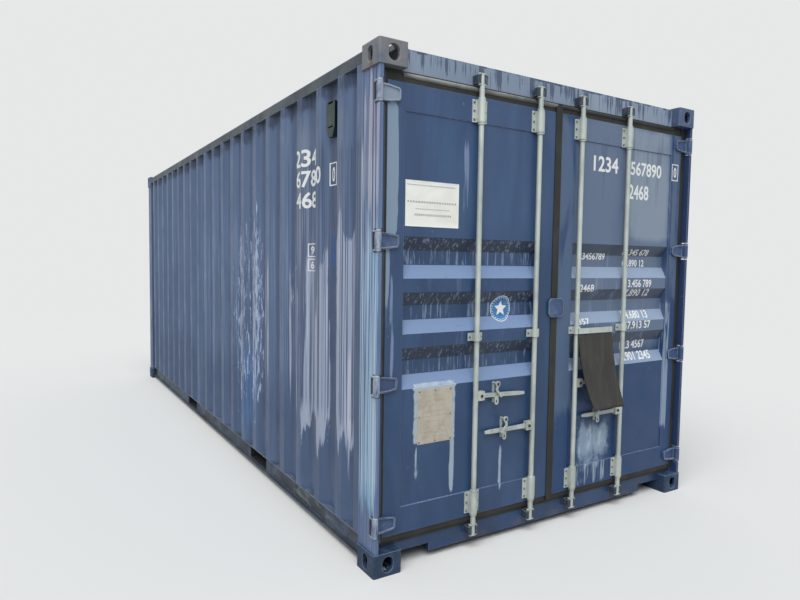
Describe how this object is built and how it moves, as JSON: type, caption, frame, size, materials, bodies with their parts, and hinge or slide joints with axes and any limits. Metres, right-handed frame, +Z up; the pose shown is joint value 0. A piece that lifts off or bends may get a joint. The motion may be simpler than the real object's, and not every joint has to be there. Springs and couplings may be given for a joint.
{
  "type": "shipping container",
  "caption": "dry cargo container with corrugated steel walls, corner fittings, forklift pockets and two end doors with lock rods, handles and a rubber flap",
  "frame": {"origin": "on the ground under the middle of the container and its flap, which stands 100 mm out in front of the door end, so the steel frame's own middle is 50 mm toward +Y", "axes": "+X to the right when facing the doors, +Y from the door end to the blind end, +Z up"},
  "size_m": [2.438, 6.158, 2.591],
  "materials": {
    "blue_paint": "dark blue marine paint, chalked and streaked",
    "faded_paint": "blue marine paint, faded, with pale runs",
    "cast_steel": "painted steel casting, scuffed",
    "underside_coating": "black underseal",
    "keeper_paint": "dark paint, worn",
    "galvanised_steel": "dull hot-dip zinc",
    "seal_rubber": "matt weathered rubber",
    "flap_rubber": "matt rubber sheet, dusty",
    "plywood": "sealed hardwood plywood",
    "vent_plastic": "moulded plastic, weathered",
    "data_plate_metal": "dull, dusty sheet",
    "sign_film": "white film on the panel"
  },
  "bodies": {
    "frame": {"corner_fittings_bottom": "cast_steel", "corner_fittings_top": "cast_steel", "door_post_left": "faded_paint", "door_post_right": "blue_paint", "door_post_edges": "faded_paint", "blind_end_posts": "faded_paint", "door_header": "blue_paint", "door_sill": "blue_paint", "blind_end_beams": "faded_paint", "roof_rails": "faded_paint", "lower_side_rails": "faded_paint", "cross_members": "underside_coating", "forklift_pockets": "underside_coating", "floor_boards": "plywood", "floor_centre_bar": "underside_coating", "side_wall_left": "faded_paint", "side_wall_right": "faded_paint", "blind_end_wall": "faded_paint", "roof_panel": "faded_paint", "roof_corner_plates": "faded_paint", "cam_keepers": "keeper_paint", "hinge_lugs": "blue_paint", "hinge_pins": "galvanised_steel", "ventilators": "vent_plastic"},
    "left_door": {"left_leaf_frame": "blue_paint", "left_leaf_panel": "blue_paint", "left_leaf_seal": "seal_rubber", "left_leaf_hinges": "blue_paint", "left_leaf_guides": "galvanised_steel", "left_leaf_catches": "galvanised_steel", "data_plate": "data_plate_metal", "sign_plate": "sign_film"},
    "right_door": {"right_leaf_frame": "blue_paint", "right_leaf_panel": "blue_paint", "right_leaf_seal": "seal_rubber", "right_leaf_hinges": "blue_paint", "right_leaf_guides": "galvanised_steel", "right_leaf_catches": "galvanised_steel", "overlap_plate": "blue_paint", "flap_bar": "galvanised_steel"},
    "flap": {"rubber_flap": "flap_rubber"},
    "rod_1": {"lock_rod_1": "galvanised_steel"},
    "handle_1": {"handle_1": "galvanised_steel"},
    "latch_1": {"handle_latch_1": "galvanised_steel"},
    "rod_2": {"lock_rod_2": "galvanised_steel"},
    "handle_2": {"handle_2": "galvanised_steel"},
    "latch_2": {"handle_latch_2": "galvanised_steel"},
    "rod_3": {"lock_rod_3": "galvanised_steel"},
    "handle_3": {"handle_3": "galvanised_steel"},
    "latch_3": {"handle_latch_3": "galvanised_steel"},
    "rod_4": {"lock_rod_4": "galvanised_steel"},
    "handle_4": {"handle_4": "galvanised_steel"},
    "latch_4": {"handle_latch_4": "galvanised_steel"}
  },
  "joints": [
    {"name": "left_door_swing", "type": "hinge", "parent": "frame", "child": "left_door", "pos_m": [-1.203, -2.963, 1.3], "axis": [0, 0, -1], "range_deg": [0, 266]},
    {"name": "right_door_swing", "type": "hinge", "parent": "frame", "child": "right_door", "pos_m": [1.203, -2.963, 1.3], "axis": [0, 0, 1], "range_deg": [0, 258]},
    {"name": "rod_1_turn", "type": "hinge", "parent": "left_door", "child": "rod_1", "pos_m": [-0.59, -2.957, 1.3], "axis": [0, 0, 1], "range_deg": [-100, 0]},
    {"name": "rod_2_turn", "type": "hinge", "parent": "left_door", "child": "rod_2", "pos_m": [-0.17, -2.957, 1.3], "axis": [0, 0, -1], "range_deg": [-100, 0]},
    {"name": "rod_3_turn", "type": "hinge", "parent": "right_door", "child": "rod_3", "pos_m": [0.17, -2.957, 1.3], "axis": [0, 0, 1], "range_deg": [-100, 0]},
    {"name": "rod_4_turn", "type": "hinge", "parent": "right_door", "child": "rod_4", "pos_m": [0.59, -2.957, 1.3], "axis": [0, 0, -1], "range_deg": [-100, 0]},
    {"name": "handle_1_lift", "type": "hinge", "parent": "rod_1", "child": "handle_1", "pos_m": [-0.556, -2.9555, 0.837], "axis": [0, -1, 0], "range_deg": [0, 8]},
    {"name": "handle_2_lift", "type": "hinge", "parent": "rod_2", "child": "handle_2", "pos_m": [-0.204, -2.9555, 0.63], "axis": [0, 1, 0], "range_deg": [0, 8]},
    {"name": "handle_3_lift", "type": "hinge", "parent": "rod_3", "child": "handle_3", "pos_m": [0.204, -2.9555, 0.837], "axis": [0, -1, 0], "range_deg": [0, 8]},
    {"name": "handle_4_lift", "type": "hinge", "parent": "rod_4", "child": "handle_4", "pos_m": [0.556, -2.9555, 0.63], "axis": [0, 1, 0], "range_deg": [0, 8]},
    {"name": "latch_1_swing", "type": "hinge", "parent": "left_door", "child": "latch_1", "pos_m": [-0.45, -2.9745, 0.8944], "axis": [0, -1, 0], "range_deg": [0, 100]},
    {"name": "latch_2_swing", "type": "hinge", "parent": "left_door", "child": "latch_2", "pos_m": [-0.388, -2.9745, 0.692], "axis": [0, 1, 0], "range_deg": [0, 100]},
    {"name": "latch_3_swing", "type": "hinge", "parent": "right_door", "child": "latch_3", "pos_m": [0.31, -2.9745, 0.899], "axis": [0, -1, 0], "range_deg": [0, 100]},
    {"name": "latch_4_swing", "type": "hinge", "parent": "right_door", "child": "latch_4", "pos_m": [0.372, -2.9745, 0.692], "axis": [0, 1, 0], "range_deg": [0, 100]},
    {"name": "flap_lift", "type": "hinge", "parent": "right_door", "child": "flap", "pos_m": [0.307, -2.983, 1.1347], "axis": [-1, 0, 0], "range_deg": [0, 80]}
  ],
  "couplings": [
    {"joint": "flap_lift", "follows": "rod_3_turn", "ratio": -0.8}
  ]
}
